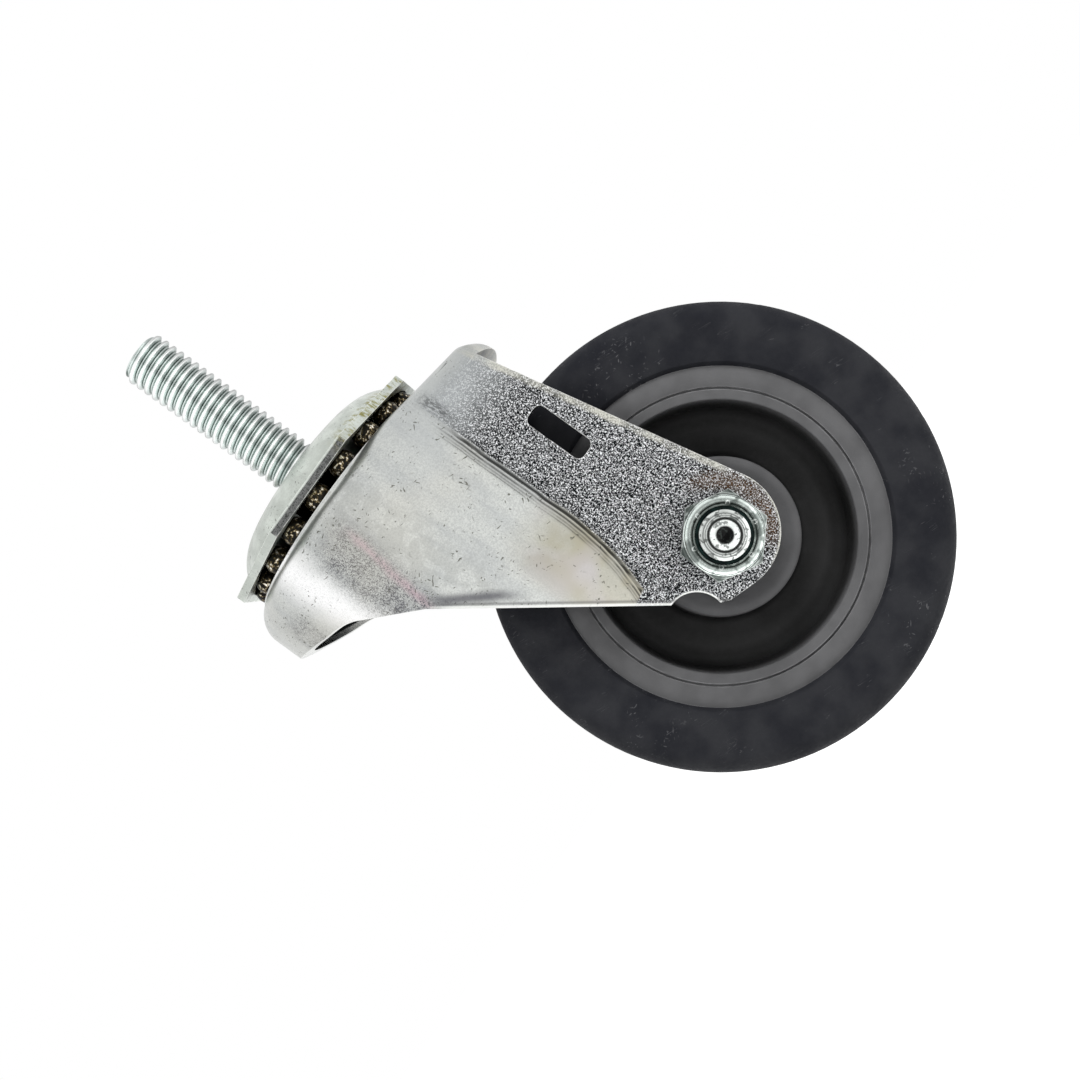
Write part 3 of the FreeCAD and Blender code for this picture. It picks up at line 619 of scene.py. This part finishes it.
def makeSheetMaterial(name, tone, greaseZone):
    # Pressed plate: worn zinc, sheared edges and the grease of its race
    tones = sheetTones
    mat, tree, shader, spot = newMaterial(name)
    x, y, z = axes(tree, spot)
    grain = placeGroup(tree, grainGroup, spot, Fine=2600.0, Patch=300.0)
    marks = placeGroup(tree, scratchGroup, spot, Density=0.5, Lean=0.2)
    edges = placeGroup(tree, edgeGroup, spot, Radius=0.0003)
    dark = tuple(c * 0.55 for c in tone)
    color = lay(tree, tone, dark, grain.outputs["Patches"], 0.45)
    color = lay(tree, color, dark, grain.outputs["Speckle"], 0.20)
    color = lay(tree, color, tones["scratch"], marks.outputs["Mask"], 0.4)
    color = lay(tree, color, tones["pit"], marks.outputs["Pits"], 0.7)

    # Sheared faces of the flats towards the sides, darker and torn
    side = mathNode(tree, "ABSOLUTE", y)
    torn = product(tree, mapRange(tree, side, *tones["flatSide"]), zone(tree, z, *tones["flatHeights"]))
    tornTone = lay(tree, tones["tornDark"], tones["tornLight"], grain.outputs["Worms"])
    color = lay(tree, color, tornTone, torn, 0.92)
    # Ochre stain on the dome's far side, also standing in for painted shade there
    stains = noise(tree, spot, 1100.0, detail=3.0, roughness=0.7, stretch=(1.0, 1.0, 0.35))
    ochre = product(tree, mapRange(tree, x, *tones["ochreRear"]), mapRange(tree, z, *tones["ochreTop"]),
                    mapRange(tree, y, *tones["ochreSide"]), mapRange(tree, stains, 0.44, 0.62))
    color = lay(tree, color, tones["ochre"], ochre, 0.85)
    # Painted highlights along the edges
    color = lay(tree, color, tones["edge"], edges.outputs["Mask"], 0.85)
    grease = raceGrease(tree, spot, *greaseZone)
    color = lay(tree, color, forkTones["grease"], grease)
    feed(tree, color, shader.inputs["Base Color"])
    metalInto(tree, shader, grease, metal=0.94)
    roughInto(tree, shader, grain.outputs["Patches"], spread=0.12, base=0.28)
    bumpInto(tree, shader, grain.outputs["Speckle"], distance=0.00002, strength=0.5)
    return mat


boltTones = {
    "steel": (0.66, 0.69, 0.67),
    "edge": (0.86, 0.88, 0.87),
    "blot": (0.03, 0.035, 0.032),
    "nearEnd": (-0.0284, -0.0290),  # the bolt's turned end face fades in between these
    "endRadius": 0.0045,
    "rings": ((0.0, 0.01), (0.29, 0.015), (0.33, 0.9), (0.36, 1.2), (0.50, 1.2), (0.54, 0.05), (0.60, 0.03),
              (0.64, 0.80), (0.68, 0.20), (0.71, 1.1), (0.75, 0.25), (0.79, 1.0), (0.86, 1.2), (0.90, 0.10),
              (1.0, 0.02)),
}


def makeBoltMaterial():
    # Plain turned steel with painted edge highlights, and painted shade and highlight rings on the bolt's near
    # end
    tones = boltTones
    mat, tree, shader, spot = newMaterial("platedBolt")
    grain = placeGroup(tree, grainGroup, spot, Fine=3200.0, Patch=600.0)
    edges = placeGroup(tree, edgeGroup, spot, Radius=0.0002)
    dark = tuple(c * 0.5 for c in tones["steel"])
    color = lay(tree, tones["steel"], dark, grain.outputs["Patches"], 0.4)
    color = lay(tree, color, tones["edge"], edges.outputs["Mask"], 0.6)
    x, y, z = axes(tree, spot)
    ring = away(tree, x, z, (axle.x, axle.z))
    rings = ramp(tree, mapRange(tree, ring, 0.0, tones["endRadius"], smooth=False), *tones["rings"])
    near = mapRange(tree, y, *tones["nearEnd"])
    lit = shadeBy(tree, color, rings)
    color = lay(tree, color, lit, near)
    blots = product(tree, near, mapRange(tree, noise(tree, spot, 1500.0, detail=2.0), 0.54, 0.62), 0.7)
    color = lay(tree, color, tones["blot"], blots)
    feed(tree, color, shader.inputs["Base Color"])
    shader.inputs["Metallic"].default_value = 0.96
    roughInto(tree, shader, grain.outputs["Patches"], spread=0.12, base=0.24)
    bumpInto(tree, shader, grain.outputs["Speckle"], distance=0.000015, strength=0.5)
    return mat


stemTones = {
    "tip": (0.66, 0.72, 0.70),
    "speckle": (0.10, 0.12, 0.11),
    "thread": (0.0039, 0.0048),  # radii that the thread's tones run between
    "threadTones": ((0.0, (0.50, 0.56, 0.54)), (0.12, (0.56, 0.62, 0.60)), (0.19, (0.13, 0.17, 0.155)),
                    (0.34, (0.20, 0.25, 0.23)), (0.52, (0.66, 0.73, 0.71)), (0.80, (0.80, 0.86, 0.84)),
                    (0.92, (0.96, 0.98, 0.97)), (1.0, (0.96, 0.98, 0.97))),
    "across": (-0.0045, 0.0055),
    "bands": ((0.0, 0.42), (0.10, 0.80), (0.20, 1.2), (0.36, 1.15), (0.46, 0.78), (0.56, 0.95), (0.66, 1.1),
              (0.78, 0.72), (0.90, 0.58), (1.0, 0.32)),
    "tipFace": (0.0331, 0.0333),
    "kingpin": (-0.0019, -0.0024),  # greased from here down
}


def makeStemMaterial():
    # Rolled thread: bright crests and roots painted as highlights, dark greenish flanks painted as shade,
    # broad painted reflection bands across the bar
    tones = stemTones
    mat, tree, shader, spot = newMaterial("platedStem")
    x, y, z = axes(tree, spot)
    grain = placeGroup(tree, grainGroup, spot, Fine=2400.0, Patch=700.0)
    radius = away(tree, x, y)
    depth = mathNode(tree, "MULTIPLY_ADD", noise(tree, spot, 700.0, detail=2.0), 0.00012, radius)
    steel = ramp(tree, mapRange(tree, depth, *tones["thread"], smooth=False), *tones["threadTones"])
    steel = lay(tree, steel, tones["tip"], mapRange(tree, z, *tones["tipFace"]))
    around = mathNode(tree, "MULTIPLY_ADD", noise(tree, spot, 300.0, detail=2.0), 0.0010, x)
    bands = ramp(tree, mapRange(tree, around, *tones["across"], smooth=False), *tones["bands"])
    color = shadeBy(tree, steel, bands)
    color = lay(tree, color, tones["speckle"], grain.outputs["Speckle"], 0.08)
    grease = mapRange(tree, z, *tones["kingpin"])
    color = lay(tree, color, forkTones["grease"], grease)
    feed(tree, color, shader.inputs["Base Color"])
    metalInto(tree, shader, grease, metal=0.95)
    roughInto(tree, shader, grain.outputs["Patches"], spread=0.10, base=0.26)
    return mat


nutTones = {
    "zinc": (0.80, 0.88, 0.84),
    "blot": (0.02, 0.03, 0.026),
    "speckle": (0.10, 0.12, 0.11),
    "edge": (0.90, 0.94, 0.91),
    "collar": (0.0040, 0.0075),  # radii that the rings run between
    "rings": ((0.0, 0.01), (0.17, 0.01), (0.20, 0.60), (0.23, 0.60), (0.26, 0.02), (0.30, 0.04), (0.34, 0.50),
              (0.46, 0.38), (0.53, 1.0), (0.64, 1.2), (0.68, 0.05), (0.74, 0.45), (0.82, 0.14), (1.0, 0.35)),
}


def makeNutMaterial():
    # Bright zinc with painted shade in the hollows round the collar and at its foot, painted highlight rings
    # and painted edge highlights
    tones = nutTones
    mat, tree, shader, spot = newMaterial("platedNut")
    x, _, z = axes(tree, spot)
    grain = placeGroup(tree, grainGroup, spot, Fine=2600.0, Patch=800.0)
    edges = placeGroup(tree, edgeGroup, spot, Radius=0.00035)
    ring = away(tree, x, z, (axle.x, axle.z))
    rings = ramp(tree, mapRange(tree, ring, *tones["collar"], smooth=False), *tones["rings"])
    color = shadeBy(tree, tones["zinc"], rings)
    blots = noise(tree, spot, 480.0, detail=2.0, roughness=0.6, stretch=(1.0, 0.4, 1.0))
    color = lay(tree, color, tones["blot"], mapRange(tree, blots, 0.48, 0.60), 0.70)
    color = lay(tree, color, tones["speckle"], grain.outputs["Speckle"], 0.15)
    color = lay(tree, color, tones["edge"], edges.outputs["Mask"], 0.85)
    feed(tree, color, shader.inputs["Base Color"])
    shader.inputs["Metallic"].default_value = 0.95
    roughInto(tree, shader, grain.outputs["Patches"], spread=0.10, base=0.20)
    bumpInto(tree, shader, grain.outputs["Patches"], distance=0.00004, strength=0.5)
    return mat


ballTones = {
    "grease": (0.004, 0.0035, 0.002),
    "brown": (0.05, 0.035, 0.015),
    "amber": (0.26, 0.20, 0.10),
    "steel": (0.66, 0.60, 0.48),
    "glint": (0.90, 0.88, 0.83),
    "bare": (-0.0091, -0.0074, 0.0005),  # heights where the balls show between the races
}


def makeBallMaterial():
    # Steel balls under patchy brown grease with painted golden highlights and glints where the steel shows,
    # black where the races hold them
    tones = ballTones
    mat, tree, shader, spot = newMaterial("greasedBall")
    middle = zone(tree, axes(tree, spot)[2], *tones["bare"])
    blotch = noise(tree, spot, 1300.0, detail=3.0, roughness=0.7)
    color = ramp(tree, blotch, (0.47, tones["grease"]), (0.53, tones["brown"]), (0.57, tones["amber"]),
                 (0.60, tones["steel"]), (0.65, tones["glint"]))
    color = lay(tree, tones["grease"], color, middle)
    feed(tree, color, shader.inputs["Base Color"])
    feed(tree, product(tree, middle, mapRange(tree, blotch, 0.48, 0.60)), shader.inputs["Metallic"])
    shader.inputs["Roughness"].default_value = 0.32
    shader.inputs["Specular IOR Level"].default_value = 0.1
    bumpInto(tree, shader, blotch, distance=0.0001, strength=0.6)
    return mat


nylonTones = {"dark": (0.003, 0.006, 0.006), "light": (0.008, 0.020, 0.018)}


def makeNylonMaterial():
    mat, tree, shader, spot = newMaterial("nutNylon")
    grain = placeGroup(tree, grainGroup, spot, Fine=2600.0, Patch=900.0)
    color = lay(tree, nylonTones["dark"], nylonTones["light"], grain.outputs["Patches"])
    feed(tree, color, shader.inputs["Base Color"])
    roughInto(tree, shader, grain.outputs["Speckle"], spread=0.15, base=0.55)
    shader.inputs["Specular IOR Level"].default_value = 0.08
    bumpInto(tree, shader, grain.outputs["Speckle"], distance=0.00002, strength=0.5)
    return mat


hubTones = {
    "ring": (0.078, 0.078, 0.080),
    "boss": (0.058, 0.058, 0.060),
    "patch": (0.03, 0.03, 0.031),
    "line": (0.22, 0.22, 0.225),
    "bossEdge": (0.0115, 0.0124, 0.0006),  # radii of the painted highlight ring round the boss
    "webRadii": (0.0134, 0.0224),
    "webTones": ((0.0, 0.0125), (0.30, 0.0160), (0.52, 0.0270), (0.66, 0.0170), (1.0, 0.0200)),
    "webDepth": (0.0146, 0.0100),  # distances from the wheel's middle plane
    "bossFace": (0.0160, 0.0180),
}


def makeHubMaterial():
    # Moulded plastic: grey ring and boss, a web painted darker with depth as shade, a painted highlight ring
    # round the boss and painted edge highlights
    tones = hubTones
    mat, tree, shader, spot = newMaterial("hubPlastic")
    grain = placeGroup(tree, grainGroup, spot, Fine=1700.0, Patch=200.0)
    edges = placeGroup(tree, edgeGroup, spot, Radius=0.00035)
    x, y, z = axes(tree, spot)
    depth = mathNode(tree, "ABSOLUTE", y)
    deep = mapRange(tree, depth, *tones["webDepth"])
    outer = mapRange(tree, depth, *tones["bossFace"])
    ring = away(tree, x, z, (axle.x, axle.z))
    color = lay(tree, tones["ring"], tones["boss"], outer)
    color = lay(tree, color, tones["ring"], outer, zone(tree, ring, *tones["bossEdge"]), 0.8)
    web = ramp(tree, mapRange(tree, ring, *tones["webRadii"], smooth=False), *tones["webTones"])
    color = lay(tree, color, web, deep)
    color = lay(tree, color, tones["patch"], grain.outputs["Patches"], 0.30)
    color = lay(tree, color, tones["line"], edges.outputs["Mask"], 0.6)
    feed(tree, color, shader.inputs["Base Color"])
    roughInto(tree, shader, grain.outputs["Speckle"], spread=0.10, base=0.52)
    shader.inputs["Specular IOR Level"].default_value = 0.12
    bumpInto(tree, shader, grain.outputs["Speckle"], distance=0.00003, strength=0.4)
    return mat


tyreTones = {
    "base": (0.0085, 0.0090, 0.0115),
    "dusty": (0.025, 0.0255, 0.028),
    "streak": (0.11, 0.11, 0.115),
}


def makeTyreMaterial():
    # Dark bluish grey polyurethane with dust and light rub marks
    tones = tyreTones
    mat, tree, shader, spot = newMaterial("tyrePolyurethane")
    grain = placeGroup(tree, grainGroup, spot, Fine=1500.0, Patch=170.0)
    color = lay(tree, tones["base"], tones["dusty"], grain.outputs["Patches"], 0.5)
    rub = placeGroup(tree, scratchGroup, spot, Density=0.60, Lean=1.2)
    color = lay(tree, color, tones["streak"], rub.outputs["Mask"], 0.30)
    some = mapRange(tree, noise(tree, spot, 60.0, detail=1.0), 0.50, 0.62)
    color = lay(tree, color, tones["streak"], rub.outputs["Pits"], some, 0.5)
    feed(tree, color, shader.inputs["Base Color"])
    roughInto(tree, shader, grain.outputs["Speckle"], spread=0.12, base=0.60)
    shader.inputs["Specular IOR Level"].default_value = 0.10
    bumpInto(tree, shader, grain.outputs["Speckle"], distance=0.00003, strength=0.4)
    return mat


forkMat = makeForkMaterial()
capMat = makeSheetMaterial("platedCap", sheetTones["cap"], sheetTones["capGrease"])
raceMat = makeSheetMaterial("platedRace", sheetTones["race"], sheetTones["raceGrease"])
stemMat = makeStemMaterial()
boltMat = makeBoltMaterial()
nutMat = makeNutMaterial()
ballMat = makeBallMaterial()
nylonMat = makeNylonMaterial()
hubMat = makeHubMaterial()
tyreMat = makeTyreMaterial()
print("stage: materials made")


# Pieces

def selectOnly(obj):
    bpy.ops.object.select_all(action="DESELECT")
    obj.select_set(True)
    bpy.context.view_layer.objects.active = obj


def finishPiece(obj, body, slotName, mat, *nodes):
    obj.data.materials.clear()
    obj.data.materials.append(mat)
    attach(obj, body)
    if nodes:
        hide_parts(*nodes)
    return obj


def smoothCopy(nodeName, newName, angle):
    # The node's own form as one joined skin, so that its curves shade smoothly
    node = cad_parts[nodeName]
    obj = bpy.data.objects.new(newName, node.data.copy())
    bpy.context.collection.objects.link(obj)
    obj.matrix_world = node.matrix_world.copy()
    selectOnly(obj)
    bpy.ops.object.mode_set(mode="EDIT")
    bpy.ops.mesh.select_all(action="SELECT")
    bpy.ops.mesh.remove_doubles(threshold=0.001 * mm)
    bpy.ops.object.mode_set(mode="OBJECT")
    if obj.data.has_custom_normals:
        bpy.ops.mesh.customdata_custom_splitnormals_clear()
    bpy.ops.object.shade_smooth_by_angle(angle=math.radians(angle))
    return obj


dressed = {
    "fork": ("forkSheet", "fork_assembly", "plated_sheet", forkMat, 24),
    "wrench_cap": ("wrenchCap", "cap_and_stem", "plated_sheet", capMat, 24),
    "lower_race": ("lowerRace", "cap_and_stem", "plated_sheet", raceMat, 24),
    "axle_bolt": ("axleBolt", "fork_assembly", "plated_bolt", boltMat, 30),
    "axle_sleeve": ("axleSleeve", "fork_assembly", "plated_bolt", boltMat, 30),
    "lock_nut": ("lockNut", "fork_assembly", "plated_nut", nutMat, 30),
    "nut_insert": ("nutRing", "fork_assembly", "nylon", nylonMat, 30),
    "wheel_hub": ("wheelHub", "wheel", "hub_plastic", hubMat, 30),
    "tyre": ("tyreBand", "wheel", "tyre", tyreMat, 30),
}
for ringName, body, count in (("upper_ball_%02d", "upper_balls", 18), ("lower_ball_%02d", "lower_balls", 13)):
    for index in range(1, count + 1):
        node = ringName % index
        dressed[node] = (node.replace("_ball_", "Ball"), body, "greased_ball", ballMat, 60)

for nodeName, (newName, body, slotName, mat, angle) in dressed.items():
    finishPiece(smoothCopy(nodeName, newName, angle), body, slotName, mat, nodeName)
print("stage: carried-over pieces smoothed and dressed")


stemSet = {
    "radius": 4.7625 * mm,
    "depth": 0.86 * mm,  # thread depth
    "pitch": 1.5875 * mm,
    "turns": 24,
    "tip": 33.4 * mm,
    "tipRound": 1.25 * mm,
    "seatRadius": 4.93 * mm,
    "shoulder": -2.07 * mm,
    "kingpin": 6.2 * mm,
    "headTop": -17.16 * mm,
    "headRadius": 9.2 * mm,
    "headLow": -20.16 * mm,
    "steps": 72,
    "threadLow": -0.3 * mm,  # the thread runs this far into the seat
    # half a thread from a root's middle to a crest's: share of the pitch, share of the depth
    "threadShape": ((0.0, 1.0), (0.055, 0.985), (0.110, 0.90), (0.340, 0.19), (0.385, 0.07), (0.440, 0.01),
                    (0.5, 0.0)),
    "smoothAngle": 32,
    "mergeGap": 0.004 * mm,
    "cutGap": 0.001 * mm,
    "rivetRound": 1.2 * mm,
    "rivetBevel": 0.35 * mm,
    "rivetShoulder": 0.4 * mm,
    "leadDepth": 1.15,  # how deep the tip's lead cuts in, against the thread's depth
}


def drawLine(name, points):
    # An edge line through points (radius, height), drawn one extrusion after another
    bpy.ops.object.select_all(action="DESELECT")
    bpy.ops.mesh.primitive_circle_add(vertices=3, radius=0.001, location=(0, 0, 0))
    obj = bpy.context.object
    obj.name = name
    bpy.ops.object.mode_set(mode="EDIT")
    bpy.ops.mesh.select_all(action="SELECT")
    bpy.ops.mesh.merge(type="CENTER")
    bpy.ops.transform.translate(value=(points[0][0], 0, points[0][1]))
    for before, after in zip(points, points[1:]):
        step = (after[0] - before[0], 0, after[1] - before[1])
        bpy.ops.mesh.extrude_region_move(TRANSFORM_OT_translate={"value": step})
    bpy.ops.object.mode_set(mode="OBJECT")
    return obj


def turnRound(obj, steps, rise=0.0, turns=1):
    # Sweeps the line round the stem's axis, climbing by rise each turn
    turned = obj.modifiers.new("turned", "SCREW")
    turned.axis = "Z"
    turned.steps = steps
    turned.render_steps = steps
    turned.screw_offset = rise
    turned.iterations = turns
    selectOnly(obj)
    bpy.ops.object.modifier_apply(modifier="turned")
    bpy.ops.object.mode_set(mode="EDIT")
    bpy.ops.mesh.select_all(action="SELECT")
    bpy.ops.mesh.remove_doubles(threshold=stemSet["mergeGap"])
    bpy.ops.mesh.normals_make_consistent(inside=False)
    bpy.ops.object.mode_set(mode="OBJECT")


def makeThread():
    s = stemSet
    rising = list(s["threadShape"])
    falling = [(1.0 - place, share) for place, share in reversed(s["threadShape"][:-1])]
    low = -2 * s["pitch"]  # below the seat, where the sweep begins
    obj = drawLine("stemThread", [(s["radius"] - s["depth"] * share, low + s["pitch"] * place)
                                  for place, share in rising + falling])
    turnRound(obj, s["steps"], s["pitch"], s["turns"])
    for vertex in obj.data.vertices:  # the tip's rounded lead
        flat = math.hypot(vertex.co.x, vertex.co.y)
        left = max(0.0, s["tip"] - vertex.co.z)
        share = max(0.0, 1.0 - left / s["tipRound"])  # 0 below the lead, 1 at the tip
        limit = s["radius"] - s["depth"] * s["leadDepth"] * share * share
        if flat > limit:
            vertex.co.x *= limit / flat
            vertex.co.y *= limit / flat
    bpy.ops.object.mode_set(mode="EDIT")
    for height, above in ((s["tip"], True), (s["threadLow"], False)):
        bpy.ops.mesh.select_all(action="SELECT")
        bpy.ops.mesh.bisect(plane_co=(0, 0, height), plane_no=(0, 0, 1), use_fill=True,
                            clear_outer=above, clear_inner=not above, threshold=s["cutGap"])
    bpy.ops.object.mode_set(mode="OBJECT")
    return obj


def makeStem():
    s = stemSet
    thread = makeThread()
    head = s["headRadius"]
    low, top = s["headLow"], s["headTop"]
    foot = drawLine("threadedStem", [
        (0.0, low), (head - s["rivetRound"], low), (head - s["rivetBevel"], low + s["rivetBevel"]),
        (head, low + s["rivetRound"]), (head, top - s["rivetShoulder"]), (head - s["rivetShoulder"], top),
        (s["kingpin"], top), (s["kingpin"], s["shoulder"]), (s["seatRadius"], s["shoulder"]),
        (s["seatRadius"], 0.0), (0.0, 0.0)])
    turnRound(foot, s["steps"])
    selectOnly(foot)
    thread.select_set(True)
    bpy.ops.object.join()
    bpy.ops.object.shade_smooth_by_angle(angle=math.radians(s["smoothAngle"]))
    return finishPiece(foot, "cap_and_stem", "plated_stem", stemMat, "threaded_stem")


makeStem()
print("stage: threaded stem made")


# Studio: pale floor, white surroundings, soft lamps

studio = {
    "floorZ": -0.165,
    "floorSize": 3.0,
    "floorTone": 0.86,
    "floorGlow": 0.55,
    "ambient": 0.62,
    "middle": (0.022, 0.0, -0.045),  # what the lamps stand round and point at
    "lamps": (  # place from the middle along the frame's right, up and camera axes, size, power
        ("lampTop", (-0.20, 0.75, 0.55), 0.55, 9.0),
        ("lampLeft", (-0.80, 0.05, 0.55), 0.45, 5.0),
        ("lampFill", (0.70, -0.25, 0.65), 0.60, 3.0),
    ),
}


def whiteForView(tree):
    # The factor that shows plain white to the camera and in reflections
    path = addNode(tree, "ShaderNodeLightPath")
    seen = mathNode(tree, "MAXIMUM", path.outputs["Is Camera Ray"], path.outputs["Is Glossy Ray"])
    return mathNode(tree, "MAXIMUM", seen, path.outputs["Is Transmission Ray"])


def makeWorld():
    world = bpy.data.worlds.new("studioWorld")
    bpy.context.scene.world = world
    world.use_nodes = True
    tree = world.node_tree
    tree.nodes.clear()
    out = addNode(tree, "ShaderNodeOutputWorld", (600, 0))
    mix = addNode(tree, "ShaderNodeMixShader", (300, 0))
    feed(tree, whiteForView(tree), mix.inputs[0])
    for index, strength in ((1, studio["ambient"]), (2, 1.0)):
        white = addNode(tree, "ShaderNodeBackground")
        white.inputs["Color"].default_value = (1.0, 1.0, 1.0, 1.0)
        white.inputs["Strength"].default_value = strength
        feed(tree, white.outputs[0], mix.inputs[index])
    feed(tree, mix.outputs[0], out.inputs[0])


def makeFloor():
    bpy.ops.object.select_all(action="DESELECT")
    bpy.ops.mesh.primitive_plane_add(size=studio["floorSize"], location=(axle.x, 0, studio["floorZ"]))
    floor = bpy.context.object
    floor.name = "paleFloor"
    mat = bpy.data.materials.new("paleFloor")
    mat.use_nodes = True
    tree = mat.node_tree
    tree.nodes.clear()
    out = addNode(tree, "ShaderNodeOutputMaterial", (600, 0))
    matt = addNode(tree, "ShaderNodeBsdfDiffuse", (0, 200))
    matt.inputs["Color"].default_value = (*[studio["floorTone"]] * 3, 1.0)
    glow = addNode(tree, "ShaderNodeEmission", (0, -200))
    glow.inputs["Strength"].default_value = studio["floorGlow"]
    both = addNode(tree, "ShaderNodeAddShader", (300, 0))
    path = addNode(tree, "ShaderNodeMixShader", (450, 0))
    feed(tree, whiteForView(tree), path.inputs[0])
    feed(tree, matt.outputs[0], both.inputs[0])
    feed(tree, glow.outputs[0], both.inputs[1])
    feed(tree, matt.outputs[0], path.inputs[1])
    feed(tree, both.outputs[0], path.inputs[2])
    feed(tree, path.outputs[0], out.inputs[0])
    floor.data.materials.append(mat)


def makeLamps():
    middle = Vector(studio["middle"])
    for name, (right, up, near), size, power in studio["lamps"]:
        data = bpy.data.lights.new(name, "AREA")
        data.shape = "DISK"
        data.size = size
        data.energy = power
        lamp = bpy.data.objects.new(name, data)
        bpy.context.collection.objects.link(lamp)
        lamp.visible_glossy = False  # metals mirror the white room, not the lamps
        lamp.location = middle + frameRight * right + frameUp * up + toCamera * near
        lamp.rotation_euler = (middle - lamp.location).to_track_quat("-Z", "Y").to_euler()


makeWorld()
makeFloor()
makeLamps()
print("stage: studio made")
